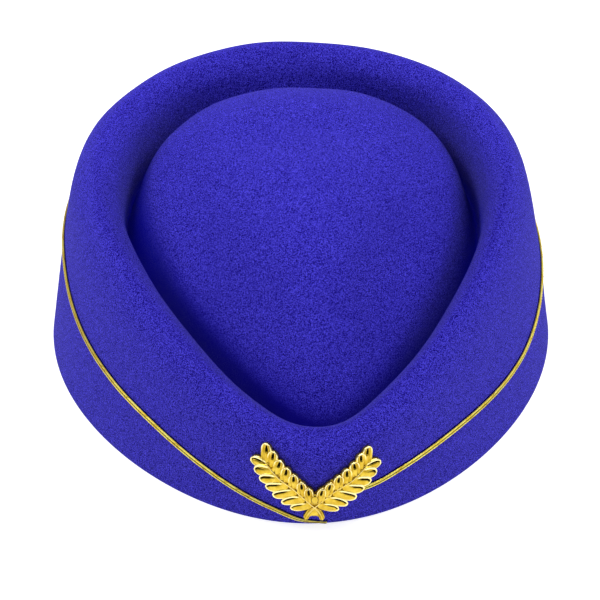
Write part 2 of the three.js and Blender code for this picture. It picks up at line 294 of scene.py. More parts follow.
def feltWander(angles, bands):
    waves = sum(
        strength * np.sin(around * angles + slant * bands + start)
        for strength, around, slant, start in feltWaves
    )
    frontness = (0.5 + 0.5 * np.cos(angles)) ** 2
    frontWall = (1 - smoothStep(bands, *wanderFades["frontWall"])) * frontness
    top = smoothStep(bands, *wanderFades["crownTop"])
    fade = smoothStep(bands, *wanderFades["edge"]) * (1 - top) * (1 - frontWall)
    return feltForm["wander"] * waves * fade


def wallBandsAt(angles, heights):
    bands = wallBands * heights / feltRings["shoulder"]["heights"][1]
    for _ in range(solverRounds):
        here = feltPoints(angles, bands)[:, 2]
        slope = (feltPoints(angles, bands + solverStep)[:, 2] - here) / solverStep
        bands = bands + (heights - here) / slope
    return bands


def wallSeats(angles, heights):
    bands = wallBandsAt(angles, heights)
    normals = feltNormals(angles, bands)
    points = feltPoints(angles, bands) + normals * feltWander(angles, bands)[:, None]
    return points, normals


# The wall's points and normals in front of the given x and heights, near the hat's front.
def frontSeats(x, heights):
    angles = x / feltRings["opening"]["halfWidth"]
    bands = wallBandsAt(angles, heights)
    for _ in range(solverRounds):
        here = feltPoints(angles, bands)
        slopeX = (feltPoints(angles + solverStep, bands)[:, 0] - here[:, 0]) / solverStep
        slopeZ = (feltPoints(angles, bands + solverStep)[:, 2] - here[:, 2]) / solverStep
        angles = angles + (x - here[:, 0]) / slopeX
        bands = bands + (heights - here[:, 2]) / slopeZ
    return feltPoints(angles, bands), feltNormals(angles, bands)


# Where the fold between rim and crown lies, in bands, and how that changes round the hat; shade is
# painted there. It opens out behind the crown, so the rim's side keeps its plain nap colour there. At
# the front, where it is tightest, it runs furthest up the crown. It is a little narrower on the right.
foldForm = {
    "rimSide": (3.85, 4.7),
    "rimSideFront": (0.05, -0.1),
    "laterBehind": 0.6,
    "widerBehind": 0.7,
    "crownSide": (5.5, 6.0),
    "crownSideFront": (-0.3, 0.68),
    "narrowerRight": 0.3,
    "narrowerFarRight": 0.2,
    "crownward": (4.1, 5.0),
    "deepest": (5.15, 5.75),
    "rimTop": (2.5, 3.1),
    "rimInside": (4.2, 4.8),
}


# How much shade is painted in the fold, how much of that is on the crown's side, how deep it lies
# there, and how much shade is painted on the nap over the rim's front, all from 0 to 1
def paintedFeltShade(angles, bands):
    frontness = (0.5 + 0.5 * np.cos(angles)) ** 2
    narrowing = foldForm["narrowerRight"] * smoothStep(np.sin(angles), -0.4, 0.3)
    narrowing = narrowing + foldForm["narrowerFarRight"] * smoothStep(np.sin(angles), 0.7, 0.95)
    later = foldForm["laterBehind"] * smoothStep(-np.cos(angles), -0.2, 0.4)
    rimFrom, rimTo = (
        place + shift * frontness for place, shift in zip(foldForm["rimSide"], foldForm["rimSideFront"])
    )
    crownFrom, crownTo = (
        place + shift * frontness - narrowing
        for place, shift in zip(foldForm["crownSide"], foldForm["crownSideFront"])
    )
    down = smoothStep(bands, rimFrom + later, rimTo + foldForm["widerBehind"] * later)
    up = smoothStep(bands, crownFrom, crownTo)
    paintedFoldShade = smoothStep(np.cos(angles), -0.85, -0.4) * down * (1 - up)
    atSides = 1 - smoothStep(np.cos(angles), -0.1, 0.5)
    deepness = (1 - smoothStep(bands, *foldForm["deepest"])) * atSides
    overRim = smoothStep(bands, *foldForm["rimTop"]) * (1 - smoothStep(bands, *foldForm["rimInside"]))
    # painted shade on the nap over the rim's front
    paintedRimShade = smoothStep(np.cos(angles), -0.4, 0.1) * overRim
    return paintedFoldShade, smoothStep(bands, *foldForm["crownward"]), deepness, paintedRimShade


# Felt: one shell, from the crown's top down the outer face, round the cut edge and up inside
def feltShell():
    count = feltForm["aroundSteps"]
    angles = np.arange(count) / count * 2 * math.pi
    rounding = feltForm["edgeRounding"]
    thickness = feltForm["thickness"]
    flatNormals = feltNormals(angles, np.zeros(count)) * (1, 1, 0)
    flatNormals /= np.linalg.norm(flatNormals, axis=-1, keepdims=True)

    def row(band, depth):
        bands = np.full(count, float(band))
        offset = feltWander(angles, bands) - depth
        return feltPoints(angles, bands) + feltNormals(angles, bands) * offset[:, None]

    def edgeRow(height, depth):
        bands = wallBandsAt(angles, np.full(count, height))
        return feltPoints(angles, bands) - flatNormals * depth

    rows, folds = [], []
    outerRows = feltForm["outerRowsPerBand"]
    innerRows = feltForm["innerRowsPerBand"]
    for step in range(feltBands * outerRows - 1, 0, -1):
        rows.append(row(step / outerRows, 0))
        folds.append(paintedFeltShade(angles, np.full(count, step / outerRows)))
    turnCount = feltForm["roundingSteps"]
    turns = [step / turnCount * math.pi / 2 for step in range(turnCount + 1)]
    for turn in turns:
        rows.append(edgeRow(rounding * (1 - math.sin(turn)), rounding * (1 - math.cos(turn))))
    for turn in reversed(turns):
        depth = thickness - rounding * (1 - math.cos(turn))
        rows.append(edgeRow(rounding * (1 - math.sin(turn)), depth))
    for step in range(1, feltBands * innerRows):
        rows.append(row(step / innerRows, thickness))
    bare = np.zeros((len(rows) - len(folds)) * count + 2)
    marks = {}
    for number, name in enumerate(("paintedFoldShade", "crownward", "deepness", "paintedRimShade")):
        marks[name] = np.concatenate([fold[number] for fold in folds] + [bare])
    top = np.array(feltForm["crownTop"], dtype=float)
    ends = [top, top - (0, 0, thickness)]
    points = np.concatenate(rows + [ends]) + formShift
    faces = gridFaces(len(rows), count)
    outerTop, innerTop = len(rows) * count, len(rows) * count + 1
    lastRow = (len(rows) - 1) * count
    for column in range(count):
        right = (column + 1) % count
        faces.append((right, column, outerTop))
        faces.append((lastRow + column, lastRow + right, innerTop))
    return points, [face[::-1] for face in faces], marks


# Shared finishes

# The nap's scales are per fibre size. The strands are long in X, Y and Z, each turned its own way.
napForm = {
    "bendScale": 0.5,
    "bend": 2.0,
    "strands": [
        ((0.2, 0.5, 0.1), (0.45, 1.5, 1.5)),
        ((1.1, -0.4, 0.9), (1.5, 0.45, 1.5)),
        ((-0.7, 0.9, 2.0), (1.5, 1.5, 0.45)),
    ],
    "fibreRange": (0.5, 0.72),
    "fibreShare": 0.45,
    "pitScale": 0.85,
    "pitRange": (0.34, 0.62),
    "pitShare": 0.55,
    "cloudScale": 0.08,
    "cloudShare": 0.04,
}


# Felt's nap: tangled fibres with dark pits between them
def napGroup():
    group = bpy.data.node_groups.new("feltNap", "ShaderNodeTree")
    addSockets(group, [
        ("Vector", "INPUT", "Vector", None),
        ("Fibre Size", "INPUT", "Float", 1.0),
        ("Mottle", "OUTPUT", "Float", None),
        ("Height", "OUTPUT", "Float", None),
    ])
    entry = addNode(group, "NodeGroupInput").outputs
    perFibre = addMath(group, "DIVIDE", 1 / mm, entry["Fibre Size"])
    vector = scaleVector(group, entry["Vector"], perFibre)
    bend = addNode(group, "ShaderNodeTexNoise", {
        "Vector": vector, "Scale": napForm["bendScale"], "Detail": 1.0,
    })
    bending = scaleVector(group, bend.outputs["Color"], napForm["bend"])
    bent = addVectorMath(group, "ADD", vector, bending)
    strands = []
    for turn, stretch in napForm["strands"]:
        mapping = addNode(group, "ShaderNodeMapping", {
            "Vector": bent, "Rotation": turn, "Scale": stretch,
        })
        noise = addNode(group, "ShaderNodeTexNoise", {
            "Vector": mapping.outputs[0], "Scale": 1.0, "Detail": 1.0, "Roughness": 0.5,
        })
        strands.append(noise.outputs["Fac"])
    tangle = addMath(group, "MAXIMUM", addMath(group, "MAXIMUM", strands[0], strands[1]), strands[2])
    fibres = mapRange(group, tangle, *napForm["fibreRange"])
    pit = addNode(group, "ShaderNodeTexNoise", {
        "Vector": bent, "Scale": napForm["pitScale"], "Detail": 2.0, "Roughness": 0.75,
    })
    pits = mapRange(group, pit.outputs["Fac"], *napForm["pitRange"])
    cloud = addNode(group, "ShaderNodeTexNoise", {
        "Vector": vector, "Scale": napForm["cloudScale"], "Detail": 3.0,
    })
    mixed = addMath(group, "ADD", addMath(group, "MULTIPLY", fibres, napForm["fibreShare"]),
                    addMath(group, "MULTIPLY", pits, napForm["pitShare"]))
    cloudiness = addMath(group, "SUBTRACT", cloud.outputs["Fac"], 0.5)
    cloudiness = addMath(group, "MULTIPLY", cloudiness, napForm["cloudShare"])
    clouded = addMath(group, "ADD", mixed, cloudiness)
    leave = addNode(group, "NodeGroupOutput")
    group.links.new(clouded, leave.inputs["Mottle"])
    group.links.new(mixed, leave.inputs["Height"])
    return group


# Metal's handling marks: fine random scratches and a soft unevenness, with scales per mm
handlingForm = {
    "scratchTurn": (0.3, 0.2, 0.9),
    "scratchStretch": (0.5, 5.0, 5.0),
    "scratchScale": 2.0,
    "cloudScale": 0.45,
}


def handlingGroup():
    group = bpy.data.node_groups.new("metalHandling", "ShaderNodeTree")
    addSockets(group, [
        ("Vector", "INPUT", "Vector", None),
        ("Scratch", "OUTPUT", "Float", None),
        ("Cloud", "OUTPUT", "Float", None),
    ])
    entry = addNode(group, "NodeGroupInput").outputs
    vector = scaleVector(group, entry["Vector"], 1 / mm)
    long = addNode(group, "ShaderNodeMapping", {
        "Vector": vector,
        "Rotation": handlingForm["scratchTurn"],
        "Scale": handlingForm["scratchStretch"],
    })
    scratch = addNode(group, "ShaderNodeTexNoise", {
        "Vector": long.outputs[0], "Scale": handlingForm["scratchScale"], "Detail": 3.0,
    })
    cloud = addNode(group, "ShaderNodeTexNoise", {
        "Vector": vector, "Scale": handlingForm["cloudScale"], "Detail": 3.0,
    })
    leave = addNode(group, "NodeGroupOutput")
    group.links.new(scratch.outputs["Fac"], leave.inputs["Scratch"])
    group.links.new(cloud.outputs["Fac"], leave.inputs["Cloud"])
    return group


def newMaterial(name, **sockets):
    material = bpy.data.materials.new(name)
    material.use_nodes = True
    tree = material.node_tree
    shader = tree.nodes["Principled BSDF"]
    for socketName, value in sockets.items():
        shader.inputs[socketName].default_value = value
    return material, tree, shader


def groupNode(tree, group, **inputs):
    node = addNode(tree, "ShaderNodeGroup", node_tree=group)
    for key, value in inputs.items():
        tree.links.new(value, node.inputs[key.replace("_", " ")])
    return node


def colourRamp(tree, value, stops):
    ramp = addNode(tree, "ShaderNodeValToRGB", {"Fac": value})
    elements = ramp.color_ramp.elements
    while len(elements) < len(stops):
        elements.new(0.5)
    for element, (place, colour) in zip(elements, stops):
        element.position = place
        element.color = (*colour, 1)
    return ramp.outputs["Color"]


feltNap = napGroup()
metalHandling = handlingGroup()

feltFinish = {
    "dark": (0.004, 0.001, 0.11),
    "body": (0.025, 0.017, 0.43),
    "bright": (0.088, 0.072, 0.78),
    # the painted shade's colours in the fold: on the rim's side, and deep on the crown's side
    "rimSideFold": (0.002, 0.0004, 0.38),
    "deepFold": (0.003, 0.0005, 0.6),
    "foldStretch": (-75, 15),    # the fold's front and its open sides, in mm along Y
    "foldCover": 0.97,           # how much of the plain nap's colour the fold's painted shade hides
    # painted shade over the rim's front: how far its nap goes towards the dark colour
    "rimShadeStrength": 0.26,
    "fibreSize": 0.3,
    "bumpDepth": 0.0004,
}
# The painted shade's colours in the fold on the crown's side, from its tight front to where it opens at
# the sides
foldColours = [
    (0.0, (0.0025, 0.0006, 0.16)),
    (0.3, (0.002, 0.0004, 0.23)),
    (0.5, (0.002, 0.0004, 0.28)),
    (0.75, (0.003, 0.0005, 0.38)),
    (1.0, (0.004, 0.0006, 0.62)),
]


# The fold's painted shade colour at a place: it differs between the rim's side and the crown's, and
# with its depth.
def foldColour(tree, place):
    forward = addNode(tree, "ShaderNodeSeparateXYZ", {"Vector": place}).outputs["Y"]
    front, sides = feltFinish["foldStretch"]
    opening = mapRange(tree, forward, front * mm, sides * mm)
    shallow = colourRamp(tree, opening, foldColours)
    crownSide = mixColours(tree, surfaceMark(tree, "deepness"), shallow, feltFinish["deepFold"])
    return mixColours(tree, surfaceMark(tree, "crownward"), feltFinish["rimSideFold"], crownSide)


def feltMaterial():
    material, tree, shader = newMaterial("royalBlueFelt", **{
        "Roughness": 0.95, "Specular IOR Level": 0.04,
        "Sheen Weight": 0.13, "Sheen Roughness": 0.35, "Sheen Tint": (0.5, 0.5, 1.0, 1),
    })
    place = objectPlace(tree)
    nap = groupNode(tree, feltNap, Vector=place)
    nap.inputs["Fibre Size"].default_value = feltFinish["fibreSize"]
    colour = colourRamp(tree, nap.outputs["Mottle"], [
        (0.3, feltFinish["dark"]), (0.5, feltFinish["body"]), (0.72, feltFinish["bright"]),
    ])
    # painted shade over the rim's front
    shade = addMath(tree, "MULTIPLY", surfaceMark(tree, "paintedRimShade"), feltFinish["rimShadeStrength"])
    shaded = mixColours(tree, shade, colour, feltFinish["dark"])
    # painted shade in the fold between rim and crown hides most of the nap's colour
    cover = mapRange(tree, surfaceMark(tree, "paintedFoldShade"), 0.0, 0.6, high=feltFinish["foldCover"])
    folded = mixColours(tree, cover, shaded, foldColour(tree, place))
    tree.links.new(folded, shader.inputs["Base Color"])
    bump = addNode(tree, "ShaderNodeBump", {
        "Height": nap.outputs["Height"], "Strength": 0.6, "Distance": feltFinish["bumpDepth"],
    })
    tree.links.new(bump.outputs[0], shader.inputs["Normal"])
    return material


# The badge's post goes through a hole in the felt into the clutch. These sizes serve all three.
postForm = {
    "x": -1.6,
    "z": 15.4,
    "radius": 0.6,
    "reach": 5.0,
    "rootOut": 0.9,
    "holeGap": 0.3,
    "cutPast": 1.0,          # how far the hole's cutter stands out of the felt on each side
    "creaseAngle": 50,       # in degrees: sharper edges in the cut felt stay crisp
    "sides": 24,
}


# A turned body set along the badge's post, from radii and depths behind the felt's face
def turnedOnPost(profile, sides):
    seat, normal = frontSeats(np.array([postForm["x"]]), np.array([postForm["z"]]))
    inward = Vector(-normal[0])
    turn = Vector((0, 0, 1)).rotation_difference(inward).to_matrix()
    points = []
    for radius, depth in profile:
        for column in range(sides):
            angle = column / sides * math.tau
            local = Vector((radius * math.cos(angle), radius * math.sin(angle), depth))
            points.append(np.array(turn @ local) + seat[0])
    faces = gridFaces(len(profile), sides)
    faces.append(tuple(range(sides))[::-1])
    faces.append(tuple((len(profile) - 1) * sides + column for column in range(sides)))
    return np.array(points), faces


def cutPostHole(piece):
    radius = postForm["radius"] + postForm["holeGap"]
    past = postForm["cutPast"]
    profile = [(radius, -past), (radius, feltForm["thickness"] + past)]
    points, faces = turnedOnPost(profile, postForm["sides"])
    cutter = meshPiece("postHole", points + formShift, faces)
    cut = piece.modifiers.new("postHole", "BOOLEAN")
    cut.operation = "DIFFERENCE"
    cut.solver = "EXACT"
    cut.object = cutter
    bakeModifiers(piece)
    piece.data.set_sharp_from_angle(angle=math.radians(postForm["creaseAngle"]))
    dropPieces(cutter)


print("felt form")
feltFormPoints, feltFaces, feltMarks = feltShell()
felt = meshPiece("feltHat", feltFormPoints, feltFaces)
for markName, marks in feltMarks.items():
    storeValues(felt, markName, marks)
felt.data.materials.append(feltMaterial())
cutPostHole(felt)
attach(felt, rootBody)
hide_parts("felt_body")


# Gold cord: two ropes side by side, each laid from plies and twisted against the other
cordForm = {
    "plies": 3,
    "plyRadius": 0.2,
    "layRadius": 0.17,
    "ropeSpacing": 0.96,
    "layLength": 3.4,
    "lift": 0.54,
    "stepLength": 0.32,
    "sides": 7,
    "shadowBandHalfWidth": 1.06,   # a dark band under the cord: painted shadow on the felt on both its sides
    "shadowBandHeight": 0.2,
    "shadowBandShift": -0.1,
    "shadowBandSides": 10,
    "taper": 14,             # how much of the cord thins out at its front end
    "endFullness": 0.35,
    "dull": 0.1,             # painted shade: how much darker the upper rope's thread is
}
# The route on the wall: the turn round the hat in degrees, and the height in mm.
cordRoute = [
    (2.0, 1.0), (-4, 2.8), (-12, 7.9), (-24, 13.6), (-36, 18.3), (-48, 22.4), (-60, 25.2), (-72, 28.9),
    (-84, 34), (-96, 40.4), (-115, 45.5), (-145, 50), (-180, 51.5), (-215, 48), (-245, 40), (-268, 31),
    (-280, 24.6), (-290, 21.6), (-300, 20.6), (-320, 21), (-335, 19.35), (-343, 17.65), (-350, 16.8),
]
routeSamples = 1600
# Where the thread is darker: how much, and between which turns that comes in and goes out
cordDarkStretches = [(0.5, (50, 75), (105, 125)), (0.2, (255, 270), (310, 325))]


def cordPath():
    rows = np.array([(turn, height, 0.0) for turn, height in cordRoute])
    places = np.linspace(0, len(rows) - 1.0001, routeSamples)
    flat = splinePoints(np.repeat(rows[:, None, :], len(places), axis=1), places)
    points, _ = wallSeats(np.radians(flat[:, 0]), flat[:, 1])
    steps = np.linalg.norm(np.diff(points, axis=0), axis=1)
    lengths = np.concatenate([[0], np.cumsum(steps)])
    count = int(lengths[-1] / cordForm["stepLength"])
    along = np.linspace(0, lengths[-1], count)
    turns = np.interp(along, lengths, flat[:, 0])
    heights = np.interp(along, lengths, flat[:, 1])
    points, normals = wallSeats(np.radians(turns), heights)
    heading = np.gradient(points, axis=0)
    sideways = np.cross(normals, heading)
    sideways /= np.linalg.norm(sideways, axis=-1, keepdims=True)
    thin = cordForm["endFullness"]
    fullness = thin + (1 - thin) * smoothStep(along, 0, cordForm["taper"])
    wear = sum(
        strength * smoothStep(-turns, *comesIn) * (1 - smoothStep(-turns, *goesOut))
        for strength, comesIn, goesOut in cordDarkStretches
    )
    return points + formShift, normals, sideways, along, fullness, wear


def cordTree():
    tree = bpy.data.node_groups.new("twistedCord", "GeometryNodeTree")
    addSockets(tree, [
        ("Path", "INPUT", "Geometry", None),
        ("Plies", "INPUT", "Int", 3),
        ("Ply Radius", "INPUT", "Float", 0.0003),
        ("Lay Radius", "INPUT", "Float", 0.0003),
        ("Rope Spacing", "INPUT", "Float", 0.001),
        ("Lay Length", "INPUT", "Float", 0.003),
        ("Lift", "INPUT", "Float", 0.0006),
        ("Sides", "INPUT", "Int", 6),
        ("Shadow Band Half Width", "INPUT", "Float", 0.001),
        ("Shadow Band Height", "INPUT", "Float", 0.0002),
        ("Shadow Band Shift", "INPUT", "Float", 0.0),
        ("Shadow Band Sides", "INPUT", "Int", 10),
        ("Upper Rope Shade", "INPUT", "Float", 0.5),
        ("Thread", "INPUT", "Material", None),
        ("Shadow Band Felt", "INPUT", "Material", None),
        ("Cord", "OUTPUT", "Geometry", None),
    ])
    entry = addNode(tree, "NodeGroupInput").outputs
    curve = addNode(tree, "GeometryNodeMeshToCurve", {"Mesh": entry["Path"]}).outputs["Curve"]
    fullness = readAttribute(tree, "fullness")
    outward = readAttribute(tree, "outward", "FLOAT_VECTOR")
    sideways = readAttribute(tree, "sideways", "FLOAT_VECTOR")
    # the ropes: even copies of the path are one rope's plies, odd ones the other's
    copies = addNode(tree, "GeometryNodeDuplicateElements", {
        "Geometry": curve, "Amount": addMath(tree, "MULTIPLY", entry["Plies"], 2.0),
    }, domain="SPLINE")
    number = copies.outputs["Duplicate Index"]
    rope = addMath(tree, "MODULO", number, 2.0)
    ply = addMath(tree, "FLOOR", addMath(tree, "DIVIDE", number, 2.0))
    side = addMath(tree, "SUBTRACT", addMath(tree, "MULTIPLY", rope, 2.0), 1.0)
    turns = addMath(tree, "DIVIDE", readAttribute(tree, "along"), entry["Lay Length"])
    start = addMath(tree, "DIVIDE", ply, entry["Plies"])
    layRadius = addMath(tree, "MULTIPLY", entry["Lay Radius"], fullness)
    spacing = addMath(tree, "MULTIPLY", entry["Rope Spacing"], fullness)
    twist = addMath(tree, "ADD", addMath(tree, "MULTIPLY", turns, side), start)
    phase = addMath(tree, "MULTIPLY", twist, math.tau)
    across = addMath(tree, "ADD",
                     addMath(tree, "MULTIPLY", side, addMath(tree, "DIVIDE", spacing, 2.0)),
                     addMath(tree, "MULTIPLY", addMath(tree, "COSINE", phase), layRadius))
    out = addMath(tree, "ADD",
                  addMath(tree, "MULTIPLY", entry["Lift"], fullness),
                  addMath(tree, "MULTIPLY", addMath(tree, "SINE", phase), layRadius))
    offset = addVectorMath(tree, "ADD",
                           scaleVector(tree, sideways, across), scaleVector(tree, outward, out))
    placed = addNode(tree, "GeometryNodeSetPosition", {
        "Geometry": copies.outputs["Geometry"], "Offset": offset,
    })
    named = addNode(tree, "GeometryNodeStoreNamedAttribute", {
        "Geometry": placed.outputs[0], "Name": "strand", "Value": number,
    }, data_type="FLOAT", domain="POINT")
    # painted shade on the upper rope, added to the darker stretches along the route
    upper = addMath(tree, "SUBTRACT", 1.0, rope)
    dulled = addMath(tree, "ADD",
                     addMath(tree, "MULTIPLY", entry["Upper Rope Shade"], upper),
                     readAttribute(tree, "wear"))
    marked = addNode(tree, "GeometryNodeStoreNamedAttribute", {
        "Geometry": named.outputs[0], "Name": "dull", "Value": dulled,
    }, data_type="FLOAT", domain="POINT")
    thinned = addNode(tree, "GeometryNodeSetCurveRadius", {
        "Curve": marked.outputs[0], "Radius": fullness,
    })
    circle = addNode(tree, "GeometryNodeCurvePrimitiveCircle", {
        "Resolution": entry["Sides"], "Radius": entry["Ply Radius"],
    })
    tubes = addNode(tree, "GeometryNodeCurveToMesh", {
        "Curve": thinned.outputs[0], "Profile Curve": circle.outputs[0], "Fill Caps": True,
    })
    thread = addNode(tree, "GeometryNodeSetMaterial", {
        "Geometry": tubes.outputs[0], "Material": entry["Thread"],
    })
    # the painted shadow: a low rounded dark band under the ropes, facing out from the felt
    shifted = addNode(tree, "GeometryNodeSetPosition", {
        "Geometry": curve, "Offset": scaleVector(tree, sideways, entry["Shadow Band Shift"]),
    })
    facing = addNode(tree, "GeometryNodeSetCurveNormal", {
        "Curve": shifted.outputs[0], "Normal": outward,
    }, mode="FREE")
    narrowed = addNode(tree, "GeometryNodeSetCurveRadius", {
        "Curve": facing.outputs[0], "Radius": fullness,
    })
    oval = addNode(tree, "GeometryNodeCurvePrimitiveCircle", {
        "Resolution": entry["Shadow Band Sides"], "Radius": 1.0,
    })
    flat = addNode(tree, "ShaderNodeCombineXYZ", {
        "X": entry["Shadow Band Height"], "Y": entry["Shadow Band Half Width"], "Z": 1.0,
    })
    flattened = addNode(tree, "GeometryNodeTransform", {
        "Geometry": oval.outputs[0], "Scale": flat.outputs[0],
    })
    band = addNode(tree, "GeometryNodeCurveToMesh", {
        "Curve": narrowed.outputs[0], "Profile Curve": flattened.outputs[0], "Fill Caps": True,
    })
    shadowBand = addNode(tree, "GeometryNodeSetMaterial", {
        "Geometry": band.outputs[0], "Material": entry["Shadow Band Felt"],
    })
    joined = addNode(tree, "GeometryNodeJoinGeometry")
    tree.links.new(shadowBand.outputs[0], joined.inputs[0])
    tree.links.new(thread.outputs[0], joined.inputs[0])
    smooth = addNode(tree, "GeometryNodeSetShadeSmooth", {"Geometry": joined.outputs[0]})
    real = addNode(tree, "GeometryNodeRealizeInstances", {"Geometry": smooth.outputs[0]})
    leave = addNode(tree, "NodeGroupOutput")
    tree.links.new(real.outputs[0], leave.inputs["Cord"])
    return tree


threadFinish = {
    "dark": (0.42, 0.27, 0.015),
    "body": (1.0, 0.76, 0.06),
    "bright": (1.0, 0.92, 0.22),
    # the colour of the painted shade on the upper rope and of the darker stretches
    "dull": (0.26, 0.15, 0.012),
    # painted shade where the two ropes meet
    "valley": (0.09, 0.055, 0.004),
    # the painted shadow's colour beside the cord
    "shadowBand": (0.002, 0.0006, 0.05),
    "grainScale": 3000.0,        # the fine grain and the patches, in turns per metre
    "grainShare": 0.3,
    "patchScale": 170.0,
    "patchShare": 0.7,
    "strandShift": 0.37,         # how far along the next ply's patches lie
    "valleyRange": (0.14, 0.36),  # mm from the cord's middle
}


def threadMaterial():
    material, tree, shader = newMaterial("goldThread", **{
        "Metallic": 0.4, "Roughness": 0.4, "Specular IOR Level": 0.2,
    })
    place = objectPlace(tree)
    grain = addNode(tree, "ShaderNodeTexNoise", {
        "Vector": place, "Scale": threadFinish["grainScale"], "Detail": 2.0,
    }).outputs["Fac"]
    shift = addMath(tree, "MULTIPLY", surfaceMark(tree, "strand"), threadFinish["strandShift"])
    patch = addNode(tree, "ShaderNodeTexNoise", {
        "W": addMath(tree, "ADD", surfaceMark(tree, "along"), shift),
        "Scale": threadFinish["patchScale"], "Detail": 2.0,
    }, noise_dimensions="1D").outputs["Fac"]
    shade = addMath(tree, "ADD",
                    addMath(tree, "MULTIPLY", grain, threadFinish["grainShare"]),
                    addMath(tree, "MULTIPLY", patch, threadFinish["patchShare"]))
    colour = colourRamp(tree, shade, [
        (0.28, threadFinish["dark"]), (0.44, threadFinish["body"]), (0.56, threadFinish["bright"]),
    ])
    # painted shade on the upper rope, and the darker stretches along the route
    shadedThreadColour = mixColours(tree, surfaceMark(tree, "dull"), colour, threadFinish["dull"])
    # painted shade where the two ropes meet
    offset = addVectorMath(tree, "SUBTRACT", place, surfaceMark(tree, "middle", "Vector"))
    across = dotProduct(tree, offset, surfaceMark(tree, "sideways", "Vector"))
    near, far = threadFinish["valleyRange"]
    valley = mapRange(tree, addMath(tree, "ABSOLUTE", across), near * mm, far * mm, 1.0, 0.0)
    shaded = mixColours(tree, valley, shadedThreadColour, threadFinish["valley"])
    tree.links.new(shaded, shader.inputs["Base Color"])
    bump = addNode(tree, "ShaderNodeBump", {"Height": grain, "Strength": 0.4, "Distance": 0.0001})
    tree.links.new(bump.outputs[0], shader.inputs["Normal"])
    return material


# A dark felt for the band under the cord: painted shadow
def shadowBandMaterial():
    material, tree, shader = newMaterial("paintedShadowFelt", **{
        "Roughness": 0.95, "Specular IOR Level": 0.1,
    })
    nap = groupNode(tree, feltNap, Vector=objectPlace(tree))
    nap.inputs["Fibre Size"].default_value = feltFinish["fibreSize"]
    colour = colourRamp(tree, nap.outputs["Mottle"], [
        (0.2, threadFinish["shadowBand"]), (0.9, feltFinish["dark"]),
    ])
    tree.links.new(colour, shader.inputs["Base Color"])
    return material


def trimCord():
    points, normals, sideways, along, fullness, wear = cordPath()
    edges = [(number, number + 1) for number in range(len(points) - 1)]
    piece = meshPiece("goldCord", points, [], edges)
    storeValues(piece, "outward", normals, "FLOAT_VECTOR")
    storeValues(piece, "sideways", sideways, "FLOAT_VECTOR")
    storeValues(piece, "middle", points * mm, "FLOAT_VECTOR")
    storeValues(piece, "along", along * mm)
    storeValues(piece, "fullness", fullness)
    storeValues(piece, "wear", wear)
    runNodes(piece, cordTree(), {
        "Plies": cordForm["plies"],
        "Ply Radius": cordForm["plyRadius"] * mm,
        "Lay Radius": cordForm["layRadius"] * mm,
        "Rope Spacing": cordForm["ropeSpacing"] * mm,
        "Lay Length": cordForm["layLength"] * mm,
        "Lift": cordForm["lift"] * mm,
        "Sides": cordForm["sides"],
        "Shadow Band Half Width": cordForm["shadowBandHalfWidth"] * mm,
        "Shadow Band Height": cordForm["shadowBandHeight"] * mm,
        "Shadow Band Shift": cordForm["shadowBandShift"] * mm,
        "Shadow Band Sides": cordForm["shadowBandSides"],
        "Upper Rope Shade": cordForm["dull"],
        "Thread": threadMaterial(),
        "Shadow Band Felt": shadowBandMaterial(),
    })
    return piece


print("gold cord")
cord = trimCord()
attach(cord, rootBody)
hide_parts("gold_cord")


# Laurel badge, in its own frame: x across from its middle, z up the wall and out away from the felt
badgeForm = {
    "middleX": postForm["x"],
    "tilt": 3,
    "tiltHeight": 20,
    "restGap": 0.35,
    "overCord": 1.45,        # how much further out the badge stands where the cord runs below it
    "cordFrom": (6, 13),     # there in x, both ways from the middle
    "cordUpTo": (22, 34),    # and there in z
    "cordFoot": (5, 10),     # and under the feet in z
    "footShift": 0.5,
    "footTo": (8, 20),
}
# The stem is a flat bar at its foot and a thin rounded stalk above.
stemForm = {
    "footHalfWidth": 1.0,
    "stalkHalfWidth": 0.32,
    "height": 1.65,
    "steps": 110,
    "across": 26,
    "barEnd": (0.22, 0.36),
    "narrowing": 0.35,
    "keelWidth": 0.26,
    "keelRise": 0.3,
    "barDip": 0.22,
    "valleyAt": 0.45,
    "valleyWidth": 0.16,
    "valleyDip": 0.2,
    # painted shade in the bar's valleys and painted highlight on the keel and stalk
    "valleyMark": 0.55,
    "highlightMark": -0.45,
    "crossingBack": -0.12,   # how far the right branch's stem is set back, under the left one's
}
stemPoints = [(-2.8, 6.4), (0, 12.1), (7.8, 21.9), (15.8, 30)]
# The plate behind a branch's leaves, which joins their roots
plateForm = {
    "start": 0.36,
    "end": 0.97,
    "steps": 44,
    "halfWidth": 4.1,
    "swell": (0.25, 0.8),
    "height": 0.62,
    "crowning": 0.25,
    "rightBack": 0.04,
    "leftBack": 0.08,
}
# The fork below the crossing: two splayed feet, a waist, and a wide top behind the knob
forkForm = {
    "foot": 7.9,
    "top": 17.5,
    "rows": 28,
    "arch": 0.7,
    "archEnd": 9.6,
    "footHalfWidth": 1.7,
    "waistCut": 0.8,
    "waist": (8.8, 11.2),
    "topFlare": 2.2,
    "flare": (12, 14),
    "height": 0.85,
    "back": 0.1,
}
# The oval knob where the branches meet, with a groove round its nearly flat dome
knobForm = {
    "rings": 20,
    "sides": 40,
    "middleZ": 16.4,
    "halfWidth": 1.3,
    "halfHeight": 2.4,
    "edgeRise": 1.55,
    "dome": 0.3,
    "grooveAt": 0.84,
    "grooveWidth": 0.09,
    "grooveDepth": 0.22,
    "grooveMark": 0.75,
    "domeMark": 0.24,
    "domeTo": 0.8,
    "back": 0.12,
}
